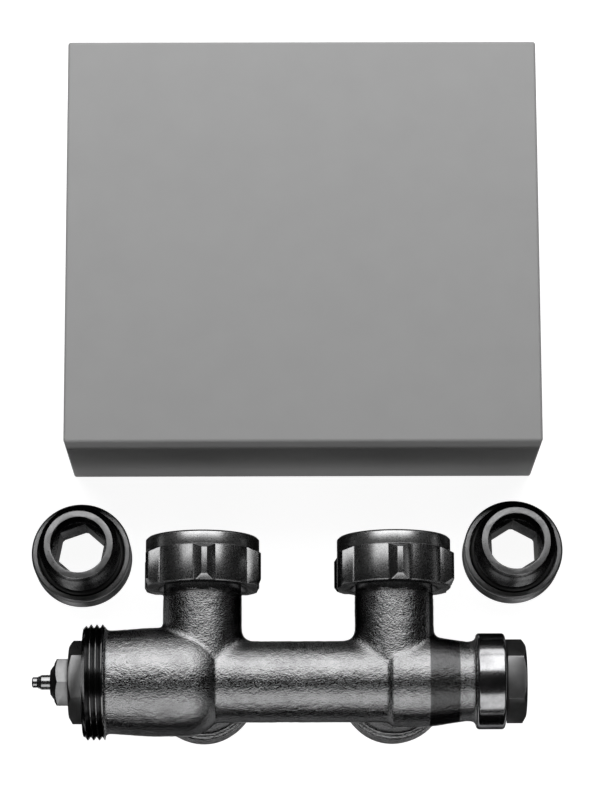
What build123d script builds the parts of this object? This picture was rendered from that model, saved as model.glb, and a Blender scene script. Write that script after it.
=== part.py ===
from build123d import *
import os
from math import cos, radians, tan

# A radiator valve block laid out flat as a set: the cast H-shaped block with its two union nuts,
# its thermostatic insert on the left and its shut-off valve on the right, two loose radiator
# nipples, and the cover that hides the block. Millimetres.
# The block is drawn about its pipe axis: X runs along the pipe, Y towards the radiator and
# Z away from the wall. Everything then lies on the floor at Z = 0.

# Main spacings
PORT_PITCH = 50.0            # the two radiator connections, centre to centre
AXIS_HEIGHT = 27.5           # pipe axis above the end faces of the wall ports
RUN = 0.05                   # radial play of a piece that turns, slides or screws in another
SEAT_GAP = 0.02              # what is left open between a closed valve and its seat
OVERCUT = 1.0                # how far a cutting tool runs past the face that it cuts
LAP = 0.5                    # how deep one form is drawn into its neighbour before they are joined
EDGE = 0.3                   # small bevel on a turned edge

# Cross tube and stubs
TUBE_R = 10.55
STUB_R = 10.3
STUB_CAST_END = 22.7         # where the rough casting ends and the turned neck begins
JUNCTION_ROUND = 3.0
JUNCTION_ROOM = 1.0          # straight tube left beyond the rounding
WATER_R = 7.0                # waterway in the stubs and the middle chambers
WATER_STEP = 1.0             # the inner part of a stub's waterway is this much narrower
WATER_SHIFT = 0.5            # and lies this much nearer the middle of the block
WATER_MOUTH_DEPTH = 6.0      # how far the full waterway reaches into the cast stub
BYPASS_R = 4.0

# Left barrel, which holds the thermostatic insert
HEAD_THREAD_R = 15.0         # M30 x 1.5, takes the thermostatic head
HEAD_THREAD_LENGTH = 5.6
BODY_LEFT = -55.7            # machined face at the left end of the casting
BARREL_R_OUTER = 13.3
BARREL_R_INNER = 14.1
BARREL_SHOULDER = -30.7      # the barrel starts to round off
BARREL_END = -21.4
BARREL_FLARE_SHARE = 0.6     # the flare takes this share of the barrel's length
BARREL_END_MID = (0.62, 0.72)  # shares of its run and of its height that the rounded end passes
INSERT_BORE_R = 11.0
INSERT_BORE_LENGTH = 9.0
INSERT_LAND_R = 10.0
INSERT_LAND_LENGTH = 4.2
LEFT_CHAMBER_R = 9.0

# Right arm, which holds the shut-off valve
STEP_X = 22.8
STEP_RUN = 1.6
ARM_R = 11.75
ARM_TAPER_X = 34.1
ARM_WAIST_X = 44.1
ARM_WAIST_R = 10.25
ARM_LIP = 0.4                # small flare where the arm meets the collar
COLLAR_X = 46.0
COLLAR_LENGTH = 7.5
COLLAR_R = 12.45
COLLAR_ROUND = 0.9
CAP_BORE_R = 9.0
CAP_BORE_LENGTH = 7.0
BUSH_BORE_R = 8.0
BUSH_BORE_LENGTH = 6.6
RIGHT_CHAMBER_R = 7.4

# The two valve seats stand between the middle chambers and the outer ones
SEAT_WALL = 2.0
SEAT_X = 27.5                # inner face of each seat wall, from the middle of the block
SEAT_HOLE_R = 4.5
SEAT_LIP_HEIGHT = 0.5
SEAT_LIP_WIDTH = 0.9
CHAMBER_START = 18.0         # inner end of each middle chamber

# Wall ports
PORT_CAST_R = 12.2
PORT_DOME_R = 9.5
PORT_DOME_DROP = 3.0
PORT_DOME_TUCK = 0.6         # the side of the dome stays this far inside the flange's root
PORT_DOME_SAG = 0.4
PORT_FLANGE_R = 14.0
PORT_FLANGE_DROP = 10.0      # top of the flange below the pipe axis
PORT_FLANGE_HEIGHT = 8.0
PORT_FLANGE_BEVEL = 0.7
PIPE_THREAD_R = 13.22        # G 3/4 outside thread
PORT_BORE_R = 7.5
PORT_BORE_DROP = 15.0        # closed upper end of the port's bore below the axis
PORT_SOCKET_R = 9.15         # cylindrical mouth of the cone seat
PORT_SOCKET_DEPTH = 3.5
PORT_CONE_DEPTH = 3.0
THREAD_BEVEL = 1.0
LEFT_DUCT_R = 4.0            # slanting ducts from the ports up into the outer chambers
RIGHT_DUCT_R = 3.5
DUCT_SHIFT = 2.0             # a duct starts this far outwards from its port's axis
DUCT_CLEAR = 1.0
RIGHT_DUCT_DEPTH = 6.0       # start of the right duct above the end of the port's bore

# Union nuts and what holds them
NECK_R = 10.1
NUT_BOTTOM = 24.4
NUT_HEIGHT = 13.2
NUT_R = 14.85
NUT_RIM = 3.7                # smooth ring above the ribs
NUT_ACROSS_FLATS = 30.0
NUT_RIB_TIP_R = 16.9
NUT_RIB_WIDTH = 5.7
NUT_FOOT_R = 15.5
NUT_FOOT_BEVEL = 1.7
NUT_RIB_ROOT = 1.2           # how deep the ribs reach into the ring
NUT_BEVEL_REACH = 0.4        # the bevels at the ribs' ends start this far outside their tips
NUT_BEVEL_SINK = 0.2
NUT_TOP_BEVEL = 0.5
NUT_RELIEF_BEVEL = 0.5
NUT_FLOOR = 3.0              # inner flange that pulls on the snap ring
NUT_MOUTH_R = 11.65
NUT_THREAD_R = 12.06         # G 3/4 inside thread, crest
NUT_THREAD_MOUTH_R = 13.3
NUT_RELIEF_R = 13.2          # run-out of the thread around the snap ring and the stub's end
NUT_TURN = (2.9, 4.1)        # degrees, how each nut happens to stand
SNAP_WIRE = 1.8
SNAP_PLAY = 0.1
SNAP_GAP = 3.6               # opening of the wire ring
STUB_TOP = 30.6
STUB_SEAL_HEIGHT = 1.8
STUB_SEAL_HOLE_R = 7.6

# Thermostatic insert
INSERT_HEX = 19.0
INSERT_HEX_LENGTH = 3.7
INSERT_HEX_TURN = 43.5       # degrees from +Z towards +Y
HEX_BEVEL_ANGLE = 30.0
HEX_BEVEL_INSET = 0.2        # the turned face of a hexagon is this much inside its flats
INSERT_SHANK_PLAY = 0.2      # the shank stops this short of the end of its bore
SPRING_BORE_R = 5.0
INSERT_NOSE_BACK = 0.5       # the insert stops this short of the end of its land
ORING_WIRE = 1.16
SQUEEZE = 0.02
GROOVE_PLAY = 0.2            # room beside an O-ring in its groove
GLAND_HEX = 12.0
GLAND_HEX_LENGTH = 2.8
GLAND_CONE_LENGTH = 2.1
GLAND_CONE_TIP_R = 3.2
GLAND_TIP_STEP = 0.6
GLAND_TIP_INSET = 0.7
GLAND_SHANK_R = 4.5
GLAND_SHANK_LENGTH = 3.4
GLAND_POCKET_R = 3.5
GLAND_POCKET_LENGTH = 3.0
PIN_R = 2.0
PIN_STEP_R = 1.45
PIN_SHOW = 2.3               # full-size stretch of the pin outside the gland
PIN_CONE = 1.2
PIN_TIP = 1.3
SPINDLE_COLLAR_R = 4.2
SPINDLE_COLLAR_LENGTH = 1.2
SPINDLE_STUB = 0.3
GUIDE_LENGTH = 2.5
VALVE_TRAVEL = 2.5
SPRING_WIRE = 0.8
SPRING_MEAN_R = 3.6
SPRING_TURNS = 5
DISC_SEAL_R = 6.2
DISC_SEAL_LENGTH = 1.8
HOLDER_RIM = 0.7
HOLDER_RIM_LENGTH = 1.1
HOLDER_LENGTH = 2.0
HOLDER_BEVEL = 1.0
RIVET_R = 3.0
RIVET_LENGTH = 0.8
SPINDLE_END_R = 1.5

# Shut-off valve and its cap
SHUTOFF_TRAVEL = 2.0
SHUTOFF_R = 3.5
SHUTOFF_HEAD_R = 5.8
SHUTOFF_HEAD_LENGTH = 2.0
SHUTOFF_PILOT_R = 2.5
SHUTOFF_PILOT_LENGTH = 2.4
SHUTOFF_PILOT_BEVEL = 0.5
SHUTOFF_CONE = 1.0           # cone between the head and the shank
SHUTOFF_REAR_BEVEL = 0.4
SHUTOFF_SEAL_LENGTH = 1.5
SHUTOFF_REAR = 50.0
SHUTOFF_SOCKET = 4.0         # hexagon socket for the key
SHUTOFF_SOCKET_DEPTH = 4.0
CAP_HEX = 19.0
CAP_HEX_LENGTH = 5.0
CAP_HEX_TURN = 36.0
CAP_SEAL = 0.4
CAP_SEAL_R = 9.4
CAP_SHANK_LENGTH = 6.2
CAP_SHANK_BEVEL = 0.6
CAP_BORE_INNER_R = 6.5
CAP_END_WALL = 3.0

# Loose nipples, thread G 3/4 down and thread G 1/2 up
NIPPLE_PLACES = {"left": (-57.8, 37.0), "right": (57.5, 37.7)}
NIPPLE_HEIGHT = 23.9
NIPPLE_BASE = 11.0
NIPPLE_THREAD_R = 10.48      # G 1/2 outside thread
NIPPLE_FACE_R = 9.04
NIPPLE_BORE_R = 7.4
NIPPLE_BORE_DEPTH = 8.0
NIPPLE_KEY = 12.0            # hexagon for the fitting key
NIPPLE_LOWER_BORE_DEPTH = 4.0
NIPPLE_GROOVE_R = 11.7
NIPPLE_GROOVE_DEPTH = 1.9
NIPPLE_ROOT_R = 9.6
NIPPLE_ROOT_LENGTH = 1.6
NIPPLE_ROOT_BEVEL = 0.5
NIPPLE_EDGE = 0.4
NIPPLE_RING_WIRE = 1.9

# Cover, lying on its open back
COVER_PLACE = (1.35, 114.2)
COVER_WIDTH = 124.0
COVER_HEIGHT = 108.6
COVER_DEPTH = 45.4
COVER_WALL = 2.0
COVER_ROUND = 0.8
COVER_AXIS_UP = 30.0         # pipe axis above the cover's lower edge when it is fitted
COVER_AXIS_IN = 24.0         # pipe axis behind the cover's front face when it is fitted
HEAD_CUTOUT_R = 18.0
RADIATOR_CUTOUT_WIDTH = 90.0
RADIATOR_CUTOUT_DEPTH = 38.0
CUTOUT_ROUND = 4.0
SADDLE_SPACING = 16.0
SADDLE_THICKNESS = 2.0
SADDLE_PLAY = 0.3
SADDLE_ARM = 3.0
SADDLE_WRAP = 0.55           # share of the tube's radius that a saddle reaches past its axis
SADDLE_GRIP = 0.8            # how much narrower than the tube the mouth of a saddle is

# Places that follow from the sizes
HALF_PITCH = PORT_PITCH / 2
COLLAR_FACE = COLLAR_X + COLLAR_LENGTH
PORT_END = -AXIS_HEIGHT
SEAT_BACK = SEAT_X + SEAT_WALL
SEAT_LIP_END = SEAT_BACK + SEAT_LIP_HEIGHT
SNAP_Y = NUT_BOTTOM + NUT_FLOOR + SNAP_PLAY + SNAP_WIRE / 2
INSERT_NOSE_END = BODY_LEFT + INSERT_BORE_LENGTH + INSERT_LAND_LENGTH - INSERT_NOSE_BACK
HEX_LEFT = BODY_LEFT - INSERT_HEX_LENGTH
GLAND_LEFT = HEX_LEFT - GLAND_HEX_LENGTH - GLAND_CONE_LENGTH
GLAND_INNER = HEX_LEFT + GLAND_SHANK_LENGTH
PIN_LEFT = GLAND_LEFT - PIN_SHOW - PIN_CONE - PIN_TIP
SPINDLE_LEFT = GLAND_INNER + SEAT_GAP - SPINDLE_STUB
COLLAR_RIGHT = SPINDLE_LEFT + SPINDLE_STUB + SPINDLE_COLLAR_LENGTH
GUIDE_LEFT = INSERT_NOSE_END - GUIDE_LENGTH
DISC_FACE = -SEAT_LIP_END - SEAT_GAP - VALVE_TRAVEL
SHUTOFF_FACE = SEAT_LIP_END + SEAT_GAP + SHUTOFF_TRAVEL
BUSH_RIGHT = COLLAR_FACE - CAP_BORE_LENGTH
BUSH_LEFT = BUSH_RIGHT - BUSH_BORE_LENGTH
CAP_LEFT = COLLAR_FACE + CAP_SEAL
CAP_RIGHT = CAP_LEFT + CAP_HEX_LENGTH

LOW = Align.MIN
MID = Align.CENTER


def turned_on_x(points):
    """Solid of revolution about the pipe axis, from (x, radius) points."""
    return revolve(make_face(Polyline(*points, close=True)), Axis.X)


def turned_on_y(points):
    """Solid of revolution about the Y axis, from (radius, y) points."""
    return revolve(make_face(Polyline(*points, close=True)), Axis.Y)


def turned_on_z(points):
    """Solid of revolution about the Z axis, from (radius, z) points."""
    return revolve(Plane.XZ * make_face(Polyline(*points, close=True)), Axis.Z)


def bar_x(radius, start, end):
    return Pos(start, 0, 0) * Rot(0, 90, 0) * Cylinder(radius, end - start, align=(MID, MID, LOW))


def bar_y(radius, start, end):
    return Pos(0, start, 0) * Rot(-90, 0, 0) * Cylinder(radius, end - start, align=(MID, MID, LOW))


def bar_z(radius, start, end):
    return Pos(0, 0, start) * Cylinder(radius, end - start, align=(MID, MID, LOW))


def slanted_bar(radius, start, end):
    way = Vector(*end) - Vector(*start)
    plane = Plane(origin=start, z_dir=way)
    return plane * Cylinder(radius, way.length, align=(MID, MID, LOW))


def hexagon_x(across_flats, start, end, turn):
    """Hexagonal bar along X; turn is the place of one corner, in degrees from +Z towards +Y."""
    corner_r = across_flats / 2 / cos(radians(30))
    face = Plane.YZ * Rot(0, 0, 90 - turn) * RegularPolygon(corner_r, 6)
    return Pos(start, 0, 0) * extrude(face, end - start, dir=(1, 0, 0))


def ring_x(wire, mean_radius, x):
    return Pos(x, 0, 0) * Rot(0, 90, 0) * Torus(mean_radius, wire / 2)


def cast_arms():
    """Cross tube with the two stubs, rounded where they meet."""
    reach = HALF_PITCH + STUB_R + JUNCTION_ROUND + JUNCTION_ROOM
    arms = bar_x(TUBE_R, -reach, reach)
    for x in (-HALF_PITCH, HALF_PITCH):
        arms += Pos(x, 0, 0) * bar_y(STUB_R, 0, STUB_CAST_END)
    seams = arms.edges().filter_by(GeomType.CIRCLE, reverse=True).filter_by(GeomType.LINE, reverse=True)
    return fillet(seams, JUNCTION_ROUND)


def barrel():
    """Left barrel: the M30 thread, a slightly flared cylinder and a rounded inner end."""
    neck_x = BODY_LEFT + HEAD_THREAD_LENGTH
    flare_x = neck_x + BARREL_FLARE_SHARE * (BARREL_SHOULDER - neck_x)
    run_share, height_share = BARREL_END_MID
    mid_x = BARREL_SHOULDER + run_share * (BARREL_END - BARREL_SHOULDER)
    mid_r = TUBE_R + height_share * (BARREL_R_INNER - TUBE_R)
    outline = Polyline(
        (BARREL_END, TUBE_R),
        (BARREL_END, 0),
        (BODY_LEFT, 0),
        (BODY_LEFT, HEAD_THREAD_R - THREAD_BEVEL),
        (BODY_LEFT + THREAD_BEVEL, HEAD_THREAD_R),
        (neck_x, HEAD_THREAD_R),
        (neck_x, BARREL_R_OUTER),
        (flare_x, BARREL_R_INNER),
        (BARREL_SHOULDER, BARREL_R_INNER),
    )
    end = ThreePointArc((BARREL_SHOULDER, BARREL_R_INNER), (mid_x, mid_r), (BARREL_END, TUBE_R))
    return revolve(make_face(outline + end), Axis.X)


def right_arm():
    """Right arm: step, chamber, taper, waist and the turned collar."""
    arm = turned_on_x([
        (STEP_X, 0),
        (STEP_X, TUBE_R),
        (STEP_X + STEP_RUN, ARM_R),
        (ARM_TAPER_X, ARM_R),
        (ARM_WAIST_X, ARM_WAIST_R),
        (COLLAR_X, ARM_WAIST_R + ARM_LIP),
        (COLLAR_X, 0),
    ])
    collar = bar_x(COLLAR_R, COLLAR_X, COLLAR_FACE)
    collar = fillet(collar.edges(), COLLAR_ROUND)
    return arm + collar


def stub_neck():
    """Turned neck of a stub, with the groove for the snap ring."""
    neck = bar_y(NECK_R, STUB_CAST_END - LAP, STUB_TOP)
    groove = Pos(0, SNAP_Y, 0) * Rot(90, 0, 0) * Torus(NECK_R, SNAP_WIRE / 2 + RUN)
    return neck - groove


def wall_port():
    """Wall port: domed root, flange and G 3/4 thread, pointing to the wall."""
    flange_end = PORT_FLANGE_DROP + PORT_FLANGE_HEIGHT
    dome = Line((0, 0), (PORT_DOME_R, 0))
    dome += Line((PORT_DOME_R, 0), (PORT_DOME_R, -PORT_DOME_DROP))
    dome += ThreePointArc(
        (PORT_DOME_R, -PORT_DOME_DROP),
        (PORT_CAST_R - PORT_DOME_TUCK, -(PORT_DOME_DROP + PORT_FLANGE_DROP) / 2 - PORT_DOME_SAG),
        (PORT_CAST_R, -PORT_FLANGE_DROP),
    )
    dome += Polyline((PORT_CAST_R, -PORT_FLANGE_DROP), (0, -PORT_FLANGE_DROP), (0, 0))
    root = revolve(Plane.XZ * make_face(dome), Axis.Z)
    lower = turned_on_z([
        (0, -PORT_FLANGE_DROP + LAP),
        (PORT_CAST_R - LAP, -PORT_FLANGE_DROP + LAP),
        (PORT_CAST_R - LAP, -PORT_FLANGE_DROP),
        (PORT_FLANGE_R - PORT_FLANGE_BEVEL, -PORT_FLANGE_DROP),
        (PORT_FLANGE_R, -PORT_FLANGE_DROP - PORT_FLANGE_BEVEL),
        (PORT_FLANGE_R, -flange_end),
        (PIPE_THREAD_R, -flange_end),
        (PIPE_THREAD_R, PORT_END + THREAD_BEVEL),
        (PIPE_THREAD_R - THREAD_BEVEL, PORT_END),
        (0, PORT_END),
    ])
    return root + lower


def port_bore():
    """Waterway of a wall port, with the cone seat at its mouth."""
    return turned_on_z([
        (0, PORT_END - OVERCUT),
        (PORT_SOCKET_R, PORT_END - OVERCUT),
        (PORT_SOCKET_R, PORT_END + PORT_SOCKET_DEPTH),
        (PORT_BORE_R, PORT_END + PORT_SOCKET_DEPTH + PORT_CONE_DEPTH),
        (PORT_BORE_R, -PORT_BORE_DROP),
        (0, -PORT_BORE_DROP),
    ])


def seat_lip(x, side):
    """Raised ring that the valve disc closes on; side is -1 on the left and 1 on the right."""
    start = x if side > 0 else x - SEAT_LIP_HEIGHT
    ring = bar_x(SEAT_HOLE_R + SEAT_LIP_WIDTH, start, start + SEAT_LIP_HEIGHT)
    return ring - bar_x(SEAT_HOLE_R, start - OVERCUT, start + SEAT_LIP_HEIGHT + OVERCUT)


def left_bores():
    land_x = BODY_LEFT + INSERT_BORE_LENGTH
    chamber_x = land_x + INSERT_LAND_LENGTH
    cut = bar_x(INSERT_BORE_R, BODY_LEFT - OVERCUT, land_x)
    cut += bar_x(INSERT_LAND_R, land_x - OVERCUT, chamber_x)
    cut += bar_x(LEFT_CHAMBER_R, chamber_x - OVERCUT, -SEAT_BACK)
    cut += slanted_bar(
        LEFT_DUCT_R,
        (-HALF_PITCH - DUCT_SHIFT, 0, -PORT_BORE_DROP - LEFT_DUCT_R),
        (-SEAT_BACK - LEFT_DUCT_R - DUCT_CLEAR, 0, DUCT_CLEAR - WATER_R),
    )
    return cut


def right_bores():
    cut = bar_x(CAP_BORE_R, BUSH_RIGHT, COLLAR_FACE + OVERCUT)
    cut += bar_x(BUSH_BORE_R, BUSH_LEFT, BUSH_RIGHT + OVERCUT)
    cut += bar_x(RIGHT_CHAMBER_R, SEAT_BACK, BUSH_LEFT + OVERCUT)
    cut += slanted_bar(
        RIGHT_DUCT_R,
        (HALF_PITCH + DUCT_SHIFT, 0, -PORT_BORE_DROP - RIGHT_DUCT_DEPTH),
        (SEAT_BACK + RIGHT_DUCT_R - DUCT_CLEAR, 0, -WATER_R),
    )
    return cut


def middle_bores():
    """Middle chambers, the stubs' waterways, the seat holes and the bypass between them."""
    cut = bar_x(BYPASS_R, -CHAMBER_START - OVERCUT, CHAMBER_START + OVERCUT)
    cut += bar_x(SEAT_HOLE_R, -SEAT_BACK - OVERCUT, -SEAT_X + OVERCUT)
    cut += bar_x(SEAT_HOLE_R, SEAT_X - OVERCUT, SEAT_BACK + OVERCUT)
    cut += bar_x(WATER_R, -SEAT_X, -CHAMBER_START)
    cut += bar_x(WATER_R, CHAMBER_START, SEAT_X)
    for x in (-HALF_PITCH + WATER_SHIFT, HALF_PITCH - WATER_SHIFT):
        cut += Pos(x, 0, 0) * bar_y(WATER_R - WATER_STEP, 0, STUB_CAST_END)
    for x in (-HALF_PITCH, HALF_PITCH):
        cut += Pos(x, 0, 0) * bar_y(WATER_R, STUB_CAST_END - WATER_MOUTH_DEPTH, STUB_TOP + OVERCUT)
    return cut


def valve_body():
    """The cast and machined block that everything is screwed into."""
    block = cast_arms() + barrel() + right_arm()
    for x in (-HALF_PITCH, HALF_PITCH):
        block += Pos(x, 0, 0) * stub_neck()
        block += Pos(x, 0, 0) * wall_port()
    for x in (-HALF_PITCH, HALF_PITCH):
        block -= Pos(x, 0, 0) * port_bore()
    block -= left_bores()
    block -= right_bores()
    block -= middle_bores()
    block += seat_lip(-SEAT_BACK, -1)
    block += seat_lip(SEAT_BACK, 1)
    return block


def nut_ribs():
    """Six gripping ribs: the corners of a hexagon, cut to narrow blocks with bevelled ends."""
    corner_r = NUT_ACROSS_FLATS / 2 / cos(radians(30))
    half = NUT_RIB_WIDTH / 2
    tip_half = (corner_r - NUT_RIB_TIP_R) / tan(radians(30))
    side_r = corner_r - half * tan(radians(30))
    root_r = NUT_R - NUT_RIB_ROOT
    rib_face = make_face(Polyline(
        (-half, root_r), (half, root_r), (half, side_r), (tip_half, NUT_RIB_TIP_R),
        (-tip_half, NUT_RIB_TIP_R), (-half, side_r), close=True,
    ))
    rib_height = NUT_HEIGHT - NUT_RIM
    rib = extrude(Plane.XZ * rib_face, -rib_height)
    ribs = rib
    for step in range(1, 6):
        ribs += Rot(0, step * 60, 0) * rib
    envelope = turned_on_y([
        (0, 0),
        (NUT_FOOT_R, 0),
        (NUT_RIB_TIP_R + NUT_BEVEL_REACH, NUT_FOOT_BEVEL),
        (NUT_RIB_TIP_R + NUT_BEVEL_REACH, rib_height - NUT_FOOT_BEVEL / 2),
        (side_r - NUT_BEVEL_SINK, rib_height),
        (0, rib_height),
    ])
    return ribs & envelope


def union_nut(turn):
    """Union nut, with an inner flange below and a G 3/4 inside thread above."""
    bore_r = NECK_R + RUN
    mouth_depth = NUT_MOUTH_R - bore_r
    seal_top = STUB_TOP + STUB_SEAL_HEIGHT - NUT_BOTTOM
    ring = turned_on_y([
        (NUT_MOUTH_R, 0),
        (NUT_R - EDGE, 0),
        (NUT_R, EDGE),
        (NUT_R, NUT_HEIGHT - NUT_TOP_BEVEL),
        (NUT_R - NUT_TOP_BEVEL, NUT_HEIGHT),
        (NUT_THREAD_MOUTH_R, NUT_HEIGHT),
        (NUT_THREAD_R, NUT_HEIGHT - NUT_THREAD_MOUTH_R + NUT_THREAD_R),
        (NUT_THREAD_R, seal_top),
        (NUT_RELIEF_R, seal_top - NUT_RELIEF_BEVEL),
        (NUT_RELIEF_R, NUT_FLOOR),
        (bore_r, NUT_FLOOR),
        (bore_r, mouth_depth),
    ])
    ribs = nut_ribs()
    inside = bar_y(NUT_R - LAP, -OVERCUT, NUT_HEIGHT + OVERCUT)
    nut = ring + (ribs - inside)
    return Pos(0, NUT_BOTTOM, 0) * Rot(0, turn, 0) * nut


def snap_ring():
    """Open wire ring that keeps the union nut on its stub."""
    ring = Rot(90, 0, 0) * Torus(NECK_R, SNAP_WIRE / 2)
    gap = Pos(0, 0, -NECK_R) * Box(SNAP_GAP, 3 * SNAP_WIRE, 3 * SNAP_WIRE)
    return Pos(0, SNAP_Y, 0) * (ring - gap)


def stub_seal():
    """Flat seal on the end face of a stub."""
    seal = bar_y(NECK_R, STUB_TOP, STUB_TOP + STUB_SEAL_HEIGHT)
    return seal - bar_y(STUB_SEAL_HOLE_R, STUB_TOP - OVERCUT, STUB_TOP + STUB_SEAL_HEIGHT + OVERCUT)


def bevelled_hexagon(across_flats, start, end, turn, bevelled_end):
    """Hexagon whose corners are turned down on one end; bevelled_end is -1 for left, 1 for right."""
    corner_r = across_flats / 2 / cos(radians(30))
    flat_r = across_flats / 2 - HEX_BEVEL_INSET
    drop = (corner_r - flat_r) * tan(radians(HEX_BEVEL_ANGLE))
    prism = hexagon_x(across_flats, start, end, turn)
    if bevelled_end > 0:
        cone = turned_on_x([(start, 0), (start, corner_r), (end - drop, corner_r), (end, flat_r), (end, 0)])
    else:
        cone = turned_on_x([(end, 0), (end, corner_r), (start + drop, corner_r), (start, flat_r), (start, 0)])
    return prism & cone


def insert_housing():
    """Brass housing of the thermostatic insert: hexagon, threaded shank and sealed nose."""
    shank_end = BODY_LEFT + INSERT_BORE_LENGTH - INSERT_SHANK_PLAY
    hexagon = bevelled_hexagon(INSERT_HEX, HEX_LEFT, BODY_LEFT, INSERT_HEX_TURN, -1)
    nose_r = INSERT_LAND_R - RUN
    shank = turned_on_x([
        (BODY_LEFT - LAP, 0),
        (BODY_LEFT - LAP, INSERT_HEX / 2 - LAP),
        (BODY_LEFT, INSERT_HEX / 2 - LAP),
        (BODY_LEFT, INSERT_BORE_R - RUN),
        (shank_end, INSERT_BORE_R - RUN),
        (shank_end, nose_r),
        (INSERT_NOSE_END, nose_r),
        (INSERT_NOSE_END, 0),
    ])
    housing = hexagon + shank
    housing -= bar_x(SPRING_BORE_R, GLAND_INNER, INSERT_NOSE_END + OVERCUT)
    housing -= bar_x(GLAND_SHANK_R + RUN, HEX_LEFT - OVERCUT, GLAND_INNER + OVERCUT)
    return housing - insert_ring_groove()


def insert_ring_x():
    return (BODY_LEFT + INSERT_BORE_LENGTH - INSERT_SHANK_PLAY + INSERT_NOSE_END) / 2


def insert_ring_groove():
    half = ORING_WIRE / 2 + GROOVE_PLAY
    x = insert_ring_x()
    groove = bar_x(INSERT_LAND_R + OVERCUT, x - half, x + half)
    return groove - bar_x(INSERT_LAND_R - ORING_WIRE - 2 * SQUEEZE, x - half - OVERCUT, x + half + OVERCUT)


def insert_oring():
    return ring_x(ORING_WIRE, INSERT_LAND_R - SQUEEZE - ORING_WIRE / 2, insert_ring_x())


def guide_bush():
    """Bush that guides the spindle and carries the return spring."""
    bush = bar_x(SPRING_BORE_R - RUN, GUIDE_LEFT, INSERT_NOSE_END)
    return bush - bar_x(PIN_R + RUN, GUIDE_LEFT - OVERCUT, INSERT_NOSE_END + OVERCUT)


def gland_nut():
    """Gland screwed into the insert: hexagon, cone, and the pocket for its O-ring."""
    corner_r = GLAND_HEX / 2 / cos(radians(30))
    cone_x = GLAND_LEFT + GLAND_CONE_LENGTH
    hexagon = hexagon_x(GLAND_HEX, cone_x - OVERCUT, HEX_LEFT, INSERT_HEX_TURN)
    cone = turned_on_x([
        (GLAND_LEFT, 0),
        (GLAND_LEFT, GLAND_CONE_TIP_R),
        (cone_x, corner_r),
        (HEX_LEFT, corner_r),
        (HEX_LEFT, 0),
    ])
    tip = turned_on_x([
        (GLAND_LEFT, 0),
        (GLAND_LEFT, GLAND_CONE_TIP_R),
        (cone_x - GLAND_TIP_STEP, GLAND_HEX / 2 - GLAND_TIP_INSET),
        (cone_x, GLAND_HEX / 2 - GLAND_TIP_INSET),
        (cone_x, 0),
    ])
    gland = (hexagon & cone) + tip
    gland += bar_x(GLAND_SHANK_R, HEX_LEFT - LAP, GLAND_INNER)
    gland -= bar_x(PIN_R + RUN, GLAND_LEFT - OVERCUT, GLAND_INNER + OVERCUT)
    return gland - bar_x(GLAND_POCKET_R, GLAND_INNER - GLAND_POCKET_LENGTH, GLAND_INNER + OVERCUT)


def gland_oring():
    wire = GLAND_POCKET_R - PIN_R - 2 * SQUEEZE
    x = GLAND_INNER - GLAND_POCKET_LENGTH + wire / 2
    return ring_x(wire, (GLAND_POCKET_R + PIN_R) / 2, x)


def actuator_pin():
    """Steel pin that the thermostatic head presses on."""
    full_x = PIN_LEFT + PIN_TIP + PIN_CONE
    return turned_on_x([
        (PIN_LEFT, 0),
        (PIN_LEFT, PIN_STEP_R - EDGE),
        (PIN_LEFT + EDGE, PIN_STEP_R),
        (PIN_LEFT + PIN_TIP, PIN_STEP_R),
        (full_x, PIN_R),
        (SPINDLE_LEFT, PIN_R),
        (SPINDLE_LEFT, 0),
    ])


def valve_spindle():
    """Spindle with the collar that the spring pushes on and a riveted end."""
    holder_left = DISC_FACE - DISC_SEAL_LENGTH - HOLDER_LENGTH
    return turned_on_x([
        (SPINDLE_LEFT, 0),
        (SPINDLE_LEFT, PIN_R),
        (SPINDLE_LEFT + SPINDLE_STUB, PIN_R),
        (SPINDLE_LEFT + SPINDLE_STUB, SPINDLE_COLLAR_R),
        (COLLAR_RIGHT, SPINDLE_COLLAR_R),
        (COLLAR_RIGHT, PIN_R),
        (holder_left, PIN_R),
        (holder_left, SPINDLE_END_R),
        (DISC_FACE, SPINDLE_END_R),
        (DISC_FACE, RIVET_R),
        (DISC_FACE + RIVET_LENGTH, RIVET_R - RIVET_LENGTH / 2),
        (DISC_FACE + RIVET_LENGTH, 0),
    ])


def disc_holder():
    """Cup on the spindle that backs the valve's seal."""
    back_x = DISC_FACE - DISC_SEAL_LENGTH
    rim_r = DISC_SEAL_R + HOLDER_RIM
    return turned_on_x([
        (back_x - HOLDER_LENGTH, SPINDLE_END_R + RUN),
        (back_x - HOLDER_LENGTH, rim_r - HOLDER_BEVEL),
        (back_x - HOLDER_LENGTH + HOLDER_BEVEL, rim_r),
        (back_x + HOLDER_RIM_LENGTH, rim_r),
        (back_x + HOLDER_RIM_LENGTH, DISC_SEAL_R),
        (back_x, DISC_SEAL_R),
        (back_x, SPINDLE_END_R + RUN),
    ])


def disc_seal():
    """Soft disc that closes the valve."""
    back_x = DISC_FACE - DISC_SEAL_LENGTH
    disc = bar_x(DISC_SEAL_R - RUN, back_x, DISC_FACE)
    return disc - bar_x(SPINDLE_END_R + RUN, back_x - OVERCUT, DISC_FACE + OVERCUT)


def return_spring():
    """Coil spring between the spindle's collar and the guide bush."""
    length = GUIDE_LEFT - COLLAR_RIGHT - SPRING_WIRE - 2 * SQUEEZE
    path = Helix(length / SPRING_TURNS, length, SPRING_MEAN_R)
    start = Plane(origin=path @ 0, z_dir=path % 0)
    coil = sweep(start * Circle(SPRING_WIRE / 2), path, is_frenet=True)
    return Pos(COLLAR_RIGHT + SPRING_WIRE / 2 + SQUEEZE, 0, 0) * Rot(0, 90, 0) * coil


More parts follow.
